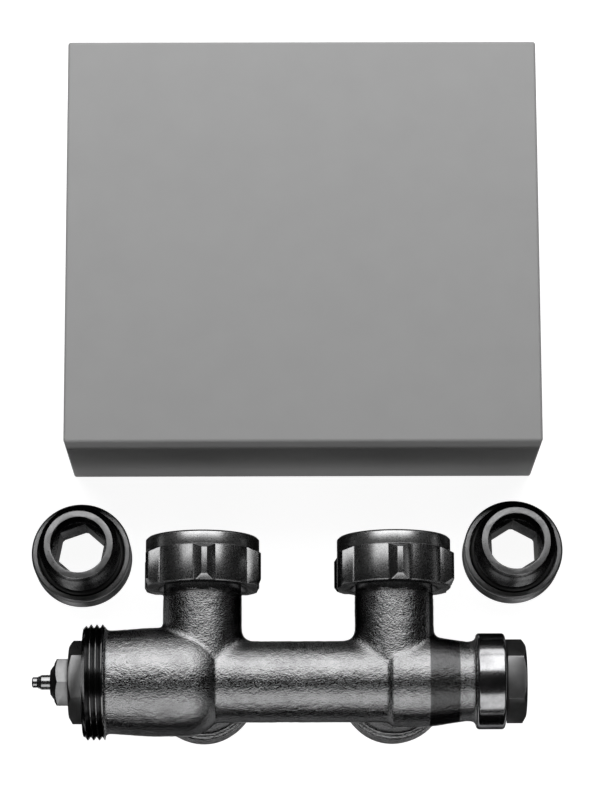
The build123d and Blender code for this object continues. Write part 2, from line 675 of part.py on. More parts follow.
def shutoff_bush():
    """Bush that the shut-off spindle screws through, with an O-ring groove inside and outside."""
    x = (BUSH_LEFT + BUSH_RIGHT) / 2
    half = ORING_WIRE / 2 + GROOVE_PLAY
    bush = bar_x(BUSH_BORE_R - RUN, BUSH_LEFT, BUSH_RIGHT)
    bush -= bar_x(SHUTOFF_R + RUN, BUSH_LEFT - OVERCUT, BUSH_RIGHT + OVERCUT)
    bush -= bar_x(SHUTOFF_R + ORING_WIRE + 2 * SQUEEZE, x - half, x + half)
    outer = bar_x(BUSH_BORE_R + OVERCUT, x - half, x + half)
    outer -= bar_x(BUSH_BORE_R - ORING_WIRE - 2 * SQUEEZE, x - half - OVERCUT, x + half + OVERCUT)
    return bush - outer


def bush_oring():
    return ring_x(ORING_WIRE, BUSH_BORE_R - SQUEEZE - ORING_WIRE / 2, (BUSH_LEFT + BUSH_RIGHT) / 2)


def spindle_oring():
    return ring_x(ORING_WIRE, SHUTOFF_R + SQUEEZE + ORING_WIRE / 2, (BUSH_LEFT + BUSH_RIGHT) / 2)


def shutoff_spindle():
    """Threaded shut-off spindle with its plug, pilot and key socket."""
    head_left = SHUTOFF_FACE + SHUTOFF_SEAL_LENGTH
    pilot_left = head_left - SHUTOFF_PILOT_LENGTH
    spindle = turned_on_x([
        (pilot_left, 0),
        (pilot_left, SHUTOFF_PILOT_R - SHUTOFF_PILOT_BEVEL),
        (pilot_left + SHUTOFF_PILOT_BEVEL, SHUTOFF_PILOT_R),
        (head_left, SHUTOFF_PILOT_R),
        (head_left, SHUTOFF_HEAD_R),
        (head_left + SHUTOFF_HEAD_LENGTH, SHUTOFF_HEAD_R),
        (head_left + SHUTOFF_HEAD_LENGTH + SHUTOFF_CONE, SHUTOFF_R),
        (SHUTOFF_REAR - SHUTOFF_REAR_BEVEL, SHUTOFF_R),
        (SHUTOFF_REAR, SHUTOFF_R - SHUTOFF_REAR_BEVEL),
        (SHUTOFF_REAR, 0),
    ])
    return spindle - hexagon_x(SHUTOFF_SOCKET, SHUTOFF_REAR - SHUTOFF_SOCKET_DEPTH, SHUTOFF_REAR + OVERCUT, 0)


def shutoff_seal():
    """Soft washer on the shut-off spindle."""
    back_x = SHUTOFF_FACE + SHUTOFF_SEAL_LENGTH
    washer = bar_x(SHUTOFF_HEAD_R, SHUTOFF_FACE, back_x)
    return washer - bar_x(SHUTOFF_PILOT_R + RUN, SHUTOFF_FACE - OVERCUT, back_x + OVERCUT)


def service_cap():
    """Hexagon cap over the shut-off spindle, screwed into the collar."""
    cap = bevelled_hexagon(CAP_HEX, CAP_LEFT, CAP_RIGHT, CAP_HEX_TURN, 1)
    shank_left = COLLAR_FACE - CAP_SHANK_LENGTH
    shank = bar_x(CAP_BORE_R - RUN, shank_left, CAP_LEFT + LAP)
    shank = chamfer(shank.edges().sort_by(Axis.X)[0], CAP_SHANK_BEVEL)
    return cap + shank - bar_x(CAP_BORE_INNER_R, shank_left - OVERCUT, CAP_RIGHT - CAP_END_WALL)


def cap_seal():
    ring = bar_x(CAP_SEAL_R, COLLAR_FACE, CAP_LEFT)
    return ring - bar_x(CAP_BORE_R + RUN, COLLAR_FACE - OVERCUT, CAP_LEFT + OVERCUT)


def nipple():
    """Radiator nipple standing on its G 3/4 end."""
    groove_floor = NIPPLE_BASE - NIPPLE_GROOVE_DEPTH
    shell = turned_on_z([
        (NIPPLE_BORE_R, NIPPLE_HEIGHT),
        (NIPPLE_FACE_R, NIPPLE_HEIGHT),
        (NIPPLE_THREAD_R, NIPPLE_HEIGHT - NIPPLE_THREAD_R + NIPPLE_FACE_R),
        (NIPPLE_THREAD_R, NIPPLE_BASE + NIPPLE_ROOT_LENGTH),
        (NIPPLE_ROOT_R, NIPPLE_BASE + NIPPLE_ROOT_LENGTH - NIPPLE_ROOT_BEVEL),
        (NIPPLE_ROOT_R, groove_floor),
        (NIPPLE_GROOVE_R, groove_floor),
        (NIPPLE_GROOVE_R, NIPPLE_BASE),
        (PIPE_THREAD_R - NIPPLE_EDGE, NIPPLE_BASE),
        (PIPE_THREAD_R, NIPPLE_BASE - NIPPLE_EDGE),
        (PIPE_THREAD_R, THREAD_BEVEL),
        (PIPE_THREAD_R - THREAD_BEVEL, 0),
        (NIPPLE_BORE_R, 0),
        (NIPPLE_BORE_R, NIPPLE_LOWER_BORE_DEPTH),
        (NIPPLE_KEY / 2 - OVERCUT, NIPPLE_LOWER_BORE_DEPTH),
        (NIPPLE_KEY / 2 - OVERCUT, NIPPLE_HEIGHT - NIPPLE_BORE_DEPTH),
        (NIPPLE_BORE_R, NIPPLE_HEIGHT - NIPPLE_BORE_DEPTH),
    ])
    key_face = RegularPolygon(NIPPLE_KEY / 2 / cos(radians(30)), 6)
    return shell - extrude(key_face, NIPPLE_HEIGHT)


def nipple_oring():
    """O-ring in the face groove of a nipple."""
    wire_r = NIPPLE_RING_WIRE / 2
    ring = Torus(NIPPLE_ROOT_R + SQUEEZE + wire_r, wire_r)
    return Pos(0, 0, NIPPLE_BASE - NIPPLE_GROOVE_DEPTH + wire_r) * ring


def cover_saddle():
    """Moulded rib with a round mouth that snaps over the cross tube."""
    grip_r = TUBE_R + SADDLE_PLAY
    axis_z = COVER_DEPTH - COVER_AXIS_IN
    mouth = 2 * (grip_r - SADDLE_GRIP)
    top_z = COVER_DEPTH - COVER_WALL
    low_z = axis_z - grip_r * SADDLE_WRAP
    plate = Pos(0, 0, low_z) * Box(
        SADDLE_THICKNESS, 2 * (grip_r + SADDLE_ARM), top_z - low_z + LAP, align=(MID, MID, LOW)
    )
    plate -= Pos(0, 0, axis_z) * bar_x(grip_r, -SADDLE_THICKNESS, SADDLE_THICKNESS)
    return plate - Box(3 * SADDLE_THICKNESS, mouth, axis_z, align=(MID, MID, LOW))


def cover_shell():
    """Cover moulded in one piece, open to the wall, with cut-outs for the head and the radiator."""
    outer = Box(COVER_WIDTH, COVER_HEIGHT, COVER_DEPTH, align=(MID, MID, LOW))
    outer = fillet(outer.edges().filter_by(Axis.Z) + outer.faces().sort_by(Axis.Z)[-1].edges(), COVER_ROUND)
    inner = Pos(0, 0, -OVERCUT) * Box(
        COVER_WIDTH - 2 * COVER_WALL,
        COVER_HEIGHT - 2 * COVER_WALL,
        COVER_DEPTH - COVER_WALL + OVERCUT,
        align=(MID, MID, LOW),
    )
    shell = outer - inner
    axis_y = COVER_AXIS_UP - COVER_HEIGHT / 2
    axis_z = COVER_DEPTH - COVER_AXIS_IN
    for x in (-SADDLE_SPACING / 2, SADDLE_SPACING / 2):
        shell += Pos(x, axis_y, 0) * cover_saddle()
    left_x = -COVER_WIDTH / 2
    head_hole = bar_x(HEAD_CUTOUT_R, left_x - OVERCUT, left_x + COVER_WALL + OVERCUT)
    shell -= Pos(0, axis_y, axis_z) * head_hole
    slot = Box(COVER_WALL + 2 * OVERCUT, 2 * HEAD_CUTOUT_R, axis_z + OVERCUT, align=(MID, MID, LOW))
    shell -= Pos(left_x + COVER_WALL / 2, axis_y, -OVERCUT) * slot
    radiator = Box(
        RADIATOR_CUTOUT_WIDTH,
        COVER_WALL + 2 * OVERCUT,
        RADIATOR_CUTOUT_DEPTH + OVERCUT,
        align=(MID, MID, LOW),
    )
    radiator = fillet(radiator.faces().sort_by(Axis.Z)[-1].edges().filter_by(Axis.Y), CUTOUT_ROUND)
    return shell - Pos(0, (COVER_HEIGHT - COVER_WALL) / 2, -OVERCUT) * radiator


def set_middle():
    """Middle of the laid-out set, seen from above."""
    nipple_x = [place[0] for place in NIPPLE_PLACES.values()]
    cover_x, cover_y = COVER_PLACE
    low_x = min(PIN_LEFT, min(nipple_x) - PIPE_THREAD_R, cover_x - COVER_WIDTH / 2)
    high_x = max(CAP_RIGHT, max(nipple_x) + PIPE_THREAD_R, cover_x + COVER_WIDTH / 2)
    low_y = -max(HEAD_THREAD_R, PORT_FLANGE_R)
    high_y = cover_y + COVER_HEIGHT / 2
    return (low_x + high_x) / 2, (low_y + high_y) / 2


def all_parts():
    """Every piece by name, placed in the set."""
    block = Pos(0, 0, AXIS_HEIGHT)
    parts = {
        "valve_body": block * valve_body(),
        "insert_housing": block * insert_housing(),
        "insert_oring": block * insert_oring(),
        "guide_bush": block * guide_bush(),
        "gland_nut": block * gland_nut(),
        "gland_oring": block * gland_oring(),
        "actuator_pin": block * actuator_pin(),
        "valve_spindle": block * valve_spindle(),
        "disc_holder": block * disc_holder(),
        "disc_seal": block * disc_seal(),
        "return_spring": block * return_spring(),
        "shutoff_bush": block * shutoff_bush(),
        "bush_oring": block * bush_oring(),
        "spindle_oring": block * spindle_oring(),
        "shutoff_spindle": block * shutoff_spindle(),
        "shutoff_seal": block * shutoff_seal(),
        "service_cap": block * service_cap(),
        "cap_seal": block * cap_seal(),
    }
    for side, x, turn in (("left", -HALF_PITCH, NUT_TURN[0]), ("right", HALF_PITCH, NUT_TURN[1])):
        stub = Pos(x, 0, AXIS_HEIGHT)
        parts["union_nut_" + side] = stub * union_nut(turn)
        parts["snap_ring_" + side] = stub * snap_ring()
        parts["stub_seal_" + side] = stub * stub_seal()
    for side, (x, y) in NIPPLE_PLACES.items():
        parts["nipple_" + side] = Pos(x, y, 0) * nipple()
        parts["nipple_oring_" + side] = Pos(x, y, 0) * nipple_oring()
    cover_x, cover_y = COVER_PLACE
    parts["cover_shell"] = Pos(cover_x, cover_y, 0) * cover_shell()
    return parts


os.makedirs("parts", exist_ok=True)
middle_x, middle_y = set_middle()
for name, shape in all_parts().items():
    export_step(Pos(-middle_x, -middle_y, 0) * shape, "parts/" + name + ".step")
print("set middle at", round(middle_x, 3), round(middle_y, 3), "from the middle of the block")
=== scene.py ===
# %% [markdown]
# # A radiator valve block, laid out with its nipples and its cover
#
# The set lies flat on a white table: a nickel-plated brass casting with two union nuts, two loose
# nipples, and a plain grey cover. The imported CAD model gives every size. This lesson adds what
# CAD leaves plain: the rough cast skin, the cut threads, the broken edges and the finishes.

# %% Load the frame
from math import cos, pi, radians, sin

import bpy
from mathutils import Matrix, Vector


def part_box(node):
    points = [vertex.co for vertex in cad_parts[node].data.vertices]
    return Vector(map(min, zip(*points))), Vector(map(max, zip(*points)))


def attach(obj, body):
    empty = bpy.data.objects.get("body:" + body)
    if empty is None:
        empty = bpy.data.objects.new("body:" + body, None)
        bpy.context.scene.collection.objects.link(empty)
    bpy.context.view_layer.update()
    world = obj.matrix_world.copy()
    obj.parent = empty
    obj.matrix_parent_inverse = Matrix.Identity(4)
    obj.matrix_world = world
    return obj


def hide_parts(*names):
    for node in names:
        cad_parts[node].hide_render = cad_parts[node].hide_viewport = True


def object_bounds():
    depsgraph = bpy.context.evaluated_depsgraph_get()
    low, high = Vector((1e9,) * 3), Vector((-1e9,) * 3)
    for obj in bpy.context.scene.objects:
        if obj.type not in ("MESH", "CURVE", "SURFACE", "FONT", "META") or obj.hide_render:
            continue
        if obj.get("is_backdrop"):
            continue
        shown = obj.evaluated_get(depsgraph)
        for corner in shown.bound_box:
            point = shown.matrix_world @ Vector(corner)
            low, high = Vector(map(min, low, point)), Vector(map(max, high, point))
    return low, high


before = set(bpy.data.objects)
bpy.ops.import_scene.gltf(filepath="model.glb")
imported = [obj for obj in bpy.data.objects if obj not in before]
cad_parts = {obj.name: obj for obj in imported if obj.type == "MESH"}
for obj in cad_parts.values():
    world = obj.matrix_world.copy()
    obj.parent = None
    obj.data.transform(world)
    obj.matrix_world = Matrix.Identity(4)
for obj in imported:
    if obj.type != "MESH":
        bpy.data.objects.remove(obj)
cad_low, cad_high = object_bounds()
MM = 0.001
print("CAD box in mm:", [round(size / MM, 1) for size in cad_high - cad_low])

# %% [markdown]
# Everything is placed from the pipe axis of the block. The lowest point of the set is the table,
# the wall ports stand on it, and the pipe axis runs 27.5 mm above it. A node's box tells where a
# piece ends, but not where a thread or a flange on it does, so those few places are named here.

# %% Places taken from the frame
body_low, body_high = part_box("valve_body")
nut_low, nut_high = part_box("union_nut_left")
other_nut_low, other_nut_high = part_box("union_nut_right")
insert_low, insert_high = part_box("insert_housing")

AXIS_HEIGHT = 27.5 * MM
AXIS = Vector(((nut_low.x + nut_high.x + other_nut_low.x + other_nut_high.x) / 4,
               (insert_low.y + insert_high.y) / 2,
               body_low.z + AXIS_HEIGHT))
HALF_PITCH = 25.0 * MM
LEFT_FACE = body_low.x
RIGHT_FACE = body_high.x
THREAD_END = LEFT_FACE + 5.6 * MM
COLLAR_START = RIGHT_FACE - 7.5 * MM
NECK_START = AXIS.y + 22.7 * MM
FLANGE_END = AXIS.z - 18.0 * MM
SIDES = {"left": -1, "right": 1}
print("Pipe axis in mm:", [round(value / MM, 2) for value in AXIS])

# %% [markdown]
# An operator acts on whatever is selected, and the imported nodes arrive selected. These small
# helpers leave nothing selected, then pick one object, and go in and out of edit mode.

# %% Helpers for selecting
def clear():
    """Nothing stays selected, so the next operator touches only what is picked for it."""
    if bpy.context.object and bpy.context.object.mode != "OBJECT":
        bpy.ops.object.mode_set(mode="OBJECT")
    bpy.ops.object.select_all(action="DESELECT")


def pick(obj):
    """Makes obj the one selected and active object."""
    clear()
    obj.select_set(True)
    bpy.context.view_layer.objects.active = obj
    return obj


def edit(obj, mode="VERT"):
    """Opens obj in edit mode with all of it selected."""
    pick(obj)
    bpy.ops.object.mode_set(mode="EDIT")
    bpy.ops.mesh.select_mode(type=mode)
    bpy.ops.mesh.select_all(action="SELECT")


def done():
    """Back to object mode."""
    bpy.ops.object.mode_set(mode="OBJECT")


def settle(obj):
    """The object's place goes into its mesh, as a CAD node's does."""
    pick(obj)
    bpy.ops.object.transform_apply(location=True, rotation=True, scale=True)
    return obj


clear()

# %% [markdown]
# Most of the extra pieces are copies of CAD nodes that get finer edges. A CAD node's mesh is
# loose triangles, so a copy is merged first, and its flat faces are then joined again so that a
# bevel sees only the real edges.

# %% Helpers for copies, cuts and Booleans
WELD = 0.002 * MM


def copy_node(node, name):
    """A merged copy of a CAD node, ready for editing."""
    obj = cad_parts[node].copy()
    obj.data = obj.data.copy()
    bpy.context.scene.collection.objects.link(obj)
    obj.parent = None
    obj.hide_render = obj.hide_viewport = False
    for key in list(obj.keys()):
        del obj[key]
    obj.name = obj.data.name = name
    obj.data.materials.clear()
    pick(obj)
    bpy.ops.mesh.customdata_custom_splitnormals_clear()
    edit(obj)
    bpy.ops.mesh.remove_doubles(threshold=WELD)
    done()
    return obj


def apply_modifier(obj, kind, **settings):
    """Adds a modifier, sets it and applies it."""
    pick(obj)
    modifier = obj.modifiers.new(kind, kind)
    for name, value in settings.items():
        setattr(modifier, name, value)
    bpy.ops.object.modifier_apply(modifier=modifier.name)
    return obj


def combine(obj, other, operation):
    """Boolean of obj with other, which is used up."""
    apply_modifier(obj, "BOOLEAN", object=other, operation=operation, solver="EXACT")
    bpy.data.objects.remove(other)
    return obj


def cut_away(obj, point, normal):
    """Removes what lies on the normal's side of a plane and closes the cut."""
    edit(obj)
    bpy.ops.mesh.bisect(plane_co=point, plane_no=normal, use_fill=True, clear_outer=True)
    done()
    return obj


def count(obj):
    """Number of triangles of a mesh."""
    return sum(len(face.vertices) - 2 for face in obj.data.polygons)

# %% [markdown]
# A turned shape is a profile swept about an axis. The profile starts as a plane that is merged
# to a single point, and is drawn by extruding that point from corner to corner. Spin then turns
# it, and the doubles at the seam and on the axis are merged before the normals are set.

# %% Helper for turned shapes
TURN_STEPS = 96
AXES = {"X": Vector((1, 0, 0)), "Y": Vector((0, 1, 0)), "Z": Vector((0, 0, 1))}
OUTWARD = {"X": Vector((0, 0, 1)), "Y": Vector((0, 0, 1)), "Z": Vector((1, 0, 0))}


def draw_line(name, start, corners, closed=False):
    """An open or closed line of edges through the corners."""
    clear()
    bpy.ops.mesh.primitive_plane_add(size=MM, location=start)
    obj = settle(bpy.context.object)
    obj.name = obj.data.name = name
    edit(obj)
    bpy.ops.mesh.merge(type="CENTER")
    here = Vector(start)
    for corner in corners:
        bpy.ops.mesh.extrude_region_move(TRANSFORM_OT_translate={"value": Vector(corner) - here})
        here = Vector(corner)
    if closed:
        bpy.ops.mesh.select_all(action="SELECT")
        bpy.ops.mesh.remove_doubles(threshold=WELD)
    done()
    return obj


def lathe(name, axis, centre, profile):
    """Turns a profile of (radius, place along the axis) corners into a closed solid."""
    places = [centre + OUTWARD[axis] * radius + AXES[axis] * along for radius, along in profile]
    obj = draw_line(name, places[0], places[1:] + places[:1], closed=True)
    edit(obj)
    bpy.ops.mesh.spin(steps=TURN_STEPS, angle=2 * pi, center=centre, axis=AXES[axis])
    bpy.ops.mesh.select_all(action="SELECT")
    bpy.ops.mesh.remove_doubles(threshold=WELD)
    bpy.ops.mesh.normals_make_consistent(inside=False)
    done()
    return obj


def bar(name, axis, centre, radius, start, end):
    """A plain round bar from start to end along an axis through the centre."""
    return lathe(name, axis, centre, [(0, start), (radius, start), (radius, end), (0, end)])

# %% [markdown]
# A thread is cut as a lathe cuts it: a V-shaped tool runs round the bar in a helix and takes the
# groove out. The tool's section is drawn once at the origin, the Screw modifier winds it, its two
# ends are closed, and a Boolean takes it away. A tool that is a little narrower than the pitch
# leaves a crest, and one that starts outside the bar runs in and out as a real thread does.

# %% Helper for threads
THREAD_STEPS = 72
THREAD_WIDTH = 0.9
OVERREACH = 0.08


def cut_thread(obj, axis, centre, start, length, crest, root, pitch):
    """Cuts a V thread between two radii, from start over the length, into obj."""
    out, along = OUTWARD[axis], AXES[axis]
    reach = crest + (crest - root) * OVERREACH
    half = pitch * THREAD_WIDTH / 2 * (1 + OVERREACH)
    begin = along * (start - pitch)
    corners = [begin + out * reach - along * half,
               begin + out * root,
               begin + out * reach + along * half]
    tool = draw_line("thread_tool", corners[0], corners[1:] + corners[:1], closed=True)
    apply_modifier(tool, "SCREW", axis=axis, screw_offset=pitch, iterations=int(length / pitch) + 2,
                   steps=THREAD_STEPS, render_steps=THREAD_STEPS)
    edit(tool, "EDGE")
    bpy.ops.mesh.select_all(action="DESELECT")
    bpy.ops.mesh.select_non_manifold()
    bpy.ops.mesh.fill()
    bpy.ops.mesh.select_all(action="SELECT")
    bpy.ops.mesh.normals_make_consistent(inside=False)
    done()
    tool.location = centre
    settle(tool)
    before = count(obj)
    combine(obj, tool, "DIFFERENCE")
    print(f"{obj.name}: thread cut, {before} -> {count(obj)} triangles")
    return obj

# %% [markdown]
# Finishes come next, so that each piece can take one as it is made. All of them are node
# materials that read Object coordinates. The casting is nickel-plated brass as it leaves the
# tumbler: a dark metal with a fine grain, small pits and faint patches. A darker band is also
# painted into its colour across the tube, 33.9 to 41.6 mm right of the pipe axis.

# %% Helpers for materials
def new_material(name):
    """An empty node material with a Principled shader. Gives (material, nodes, links, shader)."""
    material = bpy.data.materials.new(name)
    material.use_nodes = True
    nodes, links = material.node_tree.nodes, material.node_tree.links
    return material, nodes, links, nodes["Principled BSDF"]


def add_node(nodes, kind, **values):
    """A node with its settings and its unlinked inputs filled in."""
    node = nodes.new("ShaderNode" + kind)
    for name, value in values.items():
        if name in node.inputs:
            node.inputs[name].default_value = value
        else:
            setattr(node, name, value)
    return node


def noise(nodes, links, vector, scale, detail=3.0, roughness=0.55):
    """A noise pattern of so many grains per metre."""
    node = add_node(nodes, "TexNoise", Scale=scale, Detail=detail, Roughness=roughness)
    links.new(vector, node.inputs["Vector"])
    return node.outputs["Fac"]


def spread(nodes, links, factor, low, high, start=0.3, end=0.7):
    """Maps a factor between start and end onto a range of numbers."""
    node = nodes.new("ShaderNodeMapRange")
    node.inputs["From Min"].default_value = start
    node.inputs["From Max"].default_value = end
    node.inputs["To Min"].default_value = low
    node.inputs["To Max"].default_value = high
    links.new(factor, node.inputs["Value"])
    return node.outputs["Result"]


def blend_colours(nodes, links, factor, low, high, start=0.3, end=0.7):
    """Runs from one colour to another as the factor rises."""
    ramp = nodes.new("ShaderNodeValToRGB")
    ramp.color_ramp.elements[0].position = start
    ramp.color_ramp.elements[0].color = (*low, 1)
    ramp.color_ramp.elements[1].position = end
    ramp.color_ramp.elements[1].color = (*high, 1)
    links.new(factor, ramp.inputs["Fac"])
    return ramp.outputs["Color"]


def relief(nodes, links, shader, height, depth, strength=1.0, under=None):
    """Bumps the surface by a height pattern of a real depth."""
    node = add_node(nodes, "Bump", Strength=strength, Distance=depth)
    links.new(height, node.inputs["Height"])
    if under:
        links.new(under, node.inputs["Normal"])
    links.new(node.outputs["Normal"], shader.inputs["Normal"])
    return node.outputs["Normal"]


def paint(obj, *materials):
    """Gives obj these materials, the first one all over."""
    obj.data.materials.clear()
    for material in materials:
        obj.data.materials.append(material)
    return obj

# %% Cast nickel skin
def band_mask(nodes, links, place, start, end, edge=0.25 * MM):
    """1 between two places along X and 0 elsewhere, with soft edges."""
    split = nodes.new("ShaderNodeSeparateXYZ")
    links.new(place, split.inputs["Vector"])
    sides = []
    for low, high in ((start - edge, start + edge), (end + edge, end - edge)):
        side = nodes.new("ShaderNodeMapRange")
        side.interpolation_type = "SMOOTHSTEP"
        side.inputs["From Min"].default_value = low
        side.inputs["From Max"].default_value = high
        links.new(split.outputs["X"], side.inputs["Value"])
        sides.append(side.outputs["Result"])
    both = add_node(nodes, "Math", operation="MULTIPLY")
    links.new(sides[0], both.inputs[0])
    links.new(sides[1], both.inputs[1])
    return both.outputs["Value"]


NICKEL_DARK = (0.24, 0.24, 0.243)
NICKEL_LIGHT = (0.32, 0.32, 0.323)
# Colour and ends of a darker band painted across the tube of the casting.
DARKER_BAND_NICKEL = (0.10, 0.10, 0.101, 1)
DARKER_BAND_START, DARKER_BAND_END = 33.9 * MM, 41.6 * MM
GRAINS_PER_METRE = 2200
PITS_PER_METRE = 1500
GRAIN_DEPTH, PIT_DEPTH = 0.16 * MM, 0.05 * MM
# A near-black Specular Tint darkens the metals' grazing reflections: a painted dark reflection along their
# edges.
DARK_EDGE_REFLECTION_TINT = (0.06, 0.06, 0.06, 1)


def cast_finish():
    material, nodes, links, shader = new_material("cast_nickel")
    place = nodes.new("ShaderNodeTexCoord").outputs["Object"]
    grain = noise(nodes, links, place, GRAINS_PER_METRE, 4, 0.6)
    patches = noise(nodes, links, place, 160, 2)
    pits = add_node(nodes, "TexVoronoi", Scale=PITS_PER_METRE)
    links.new(place, pits.inputs["Vector"])
    colour = blend_colours(nodes, links, patches, NICKEL_DARK, NICKEL_LIGHT, 0.25, 0.75)
    # The base colour turns darker in a band across the tube, 33.9 to 41.6 mm right of the pipe axis.
    darker_band = band_mask(nodes, links, place, AXIS.x + DARKER_BAND_START, AXIS.x + DARKER_BAND_END)
    mix = add_node(nodes, "Mix", data_type="RGBA")
    links.new(darker_band, mix.inputs["Factor"])
    links.new(colour, mix.inputs["A"])
    mix.inputs["B"].default_value = DARKER_BAND_NICKEL
    links.new(mix.outputs["Result"], shader.inputs["Base Color"])
    links.new(spread(nodes, links, grain, 0.10, 0.22), shader.inputs["Roughness"])
    under = relief(nodes, links, shader, pits.outputs["Distance"], PIT_DEPTH, 0.5)
    relief(nodes, links, shader, grain, GRAIN_DEPTH, 1.0, under)
    shader.inputs["Metallic"].default_value = 1
    shader.inputs["Specular Tint"].default_value = DARK_EDGE_REFLECTION_TINT
    return material


CAST = cast_finish()
print("Made", CAST.name)

# %% [markdown]
# A turned face carries fine rings around its own axis. The pattern therefore reads only the
# place along the axis and the distance from it, and a Mapping node moves the axis of the piece
# onto the origin. One function serves the nuts, the nipples and the machined ends.

# %% Turned and plated finish
TURNED_DARK = (0.24, 0.24, 0.245)
TURNED_LIGHT = (0.40, 0.40, 0.405)
RINGS_PER_METRE, SPECKS_PER_METRE, WEAR_PER_METRE = 9000, 3000, 220
RING_DEPTH, SPECK_DEPTH = 0.006 * MM, 0.010 * MM


def turned_finish(name, axis, centre, dark=TURNED_DARK, light=TURNED_LIGHT, rough=(0.12, 0.24)):
    material, nodes, links, shader = new_material(name)
    place = nodes.new("ShaderNodeTexCoord").outputs["Object"]
    shift = add_node(nodes, "Mapping", Location=-Vector(centre))
    links.new(place, shift.inputs["Vector"])
    split = nodes.new("ShaderNodeSeparateXYZ")
    links.new(shift.outputs["Vector"], split.inputs["Vector"])
    across = [split.outputs[letter] for letter in "XYZ" if letter != axis]
    flat = nodes.new("ShaderNodeCombineXYZ")
    links.new(across[0], flat.inputs["X"])
    links.new(across[1], flat.inputs["Y"])
    radius = add_node(nodes, "VectorMath", operation="LENGTH")
    links.new(flat.outputs["Vector"], radius.inputs[0])
    rings = nodes.new("ShaderNodeCombineXYZ")
    links.new(split.outputs[axis], rings.inputs["X"])
    links.new(radius.outputs["Value"], rings.inputs["Y"])
    lines = noise(nodes, links, rings.outputs["Vector"], RINGS_PER_METRE, 3, 0.7)
    specks = noise(nodes, links, place, SPECKS_PER_METRE)
    wear = noise(nodes, links, place, WEAR_PER_METRE)
    links.new(blend_colours(nodes, links, wear, dark, light), shader.inputs["Base Color"])
    links.new(spread(nodes, links, specks, *rough), shader.inputs["Roughness"])
    under = relief(nodes, links, shader, lines, RING_DEPTH, 0.7)
    relief(nodes, links, shader, specks, SPECK_DEPTH, 0.35, under)
    shader.inputs["Metallic"].default_value = 1
    shader.inputs["Specular Tint"].default_value = DARK_EDGE_REFLECTION_TINT
    return material


STUB_PLACES = {side: AXIS + AXES["X"] * HALF_PITCH * sign for side, sign in SIDES.items()}
BLOCK_TURNED = turned_finish("turned_nickel_block", "X", AXIS)
MILLED = turned_finish("milled_brass", "X", AXIS, (0.19, 0.19, 0.191), (0.26, 0.26, 0.262),
                       (0.30, 0.42))
# The head thread takes a darker copy of the turned nickel: painted shade for its flanks and roots.
HEAD_THREAD_PAINTED_SHADE = turned_finish("turned_nickel_thread_painted_shade", "X", AXIS, (0.13, 0.13, 0.131),
                              (0.20, 0.20, 0.202))
STUB_TURNED, RIM_PAINTED_HIGHLIGHT, PORT_TURNED = {}, {}, {}
for side, centre in STUB_PLACES.items():
    STUB_TURNED[side] = turned_finish(f"turned_nickel_stub_{side}", "Y", centre, (0.22, 0.22, 0.222),
                                      (0.33, 0.33, 0.332), (0.20, 0.34))
    # The nut rims take a brighter copy of the same turned nickel: a painted highlight.
    RIM_PAINTED_HIGHLIGHT[side] = turned_finish(f"turned_nickel_rim_painted_highlight_{side}", "Y", centre, (0.38, 0.38, 0.383),
                                     (0.52, 0.52, 0.523), (0.24, 0.36))
    PORT_TURNED[side] = turned_finish(f"turned_nickel_port_{side}", "Z", centre)
print("Turned finishes:", 3 + len(STUB_TURNED) + len(RIM_PAINTED_HIGHLIGHT) + len(PORT_TURNED))

# %% [markdown]
# The rest of the finishes are simpler: bright drawn steel for the pin and the springs, black
# rubber for the seals, and the cover's plain grey moulded plastic, which is matte, with a very
# fine spark-eroded grain.

# %% Steel, rubber and plastic
def plain_finish(name, dark, light, rough, scale, depth, metallic=0.0, specular=0.5):
    material, nodes, links, shader = new_material(name)
    place = nodes.new("ShaderNodeTexCoord").outputs["Object"]
    grain = noise(nodes, links, place, scale, 3)
    patches = noise(nodes, links, place, scale / 30, 2)
    links.new(blend_colours(nodes, links, patches, dark, light), shader.inputs["Base Color"])
    links.new(spread(nodes, links, grain, *rough), shader.inputs["Roughness"])
    relief(nodes, links, shader, grain, depth, 0.4)
    shader.inputs["Metallic"].default_value = metallic
    shader.inputs["Specular IOR Level"].default_value = specular
    return material


STEEL = plain_finish("drawn_steel", (0.26, 0.26, 0.263), (0.36, 0.36, 0.363), (0.16, 0.28),
                     scale=4000, depth=0.01 * MM, metallic=1)
RUBBER = plain_finish("black_rubber", (0.010, 0.010, 0.010), (0.022, 0.022, 0.022), (0.4, 0.6),
                      scale=2500, depth=0.03 * MM)
GREY_PLASTIC = plain_finish("grey_plastic", (0.300, 0.300, 0.300), (0.310, 0.310, 0.310), (0.5, 0.58),
                            scale=3500, depth=0.01 * MM, specular=0.3)
print("Made", STEEL.name, RUBBER.name, GREY_PLASTIC.name)

# %% [markdown]
# ## The casting
#
# The casting has a skin that no CAD face can give: soft where its arms meet, and uneven all over.
# It could be sculpted, but a copy of the CAD body keeps the size. Its waterways are first filled
# with round plugs. A voxel remesh then turns plugs and body into one even skin of small faces,
# which can carry real dents.

# %% Fill the waterways of a copy
PLUG_RUN = 1.0 * MM
HEAD_PLUG_R, HEAD_PLUG_LENGTH = 12.0 * MM, 11.0 * MM
TUBE_PLUG_R = 10.2 * MM
STUB_PLUG_R, STUB_PLUG_LENGTH = 8.2 * MM, 31.6 * MM
PORT_PLUG_R, PORT_PLUG_NECK_R = 10.0 * MM, 9.2 * MM
PORT_PLUG_FOOT, PORT_PLUG_SHOULDER = -28.5 * MM, -13.0 * MM


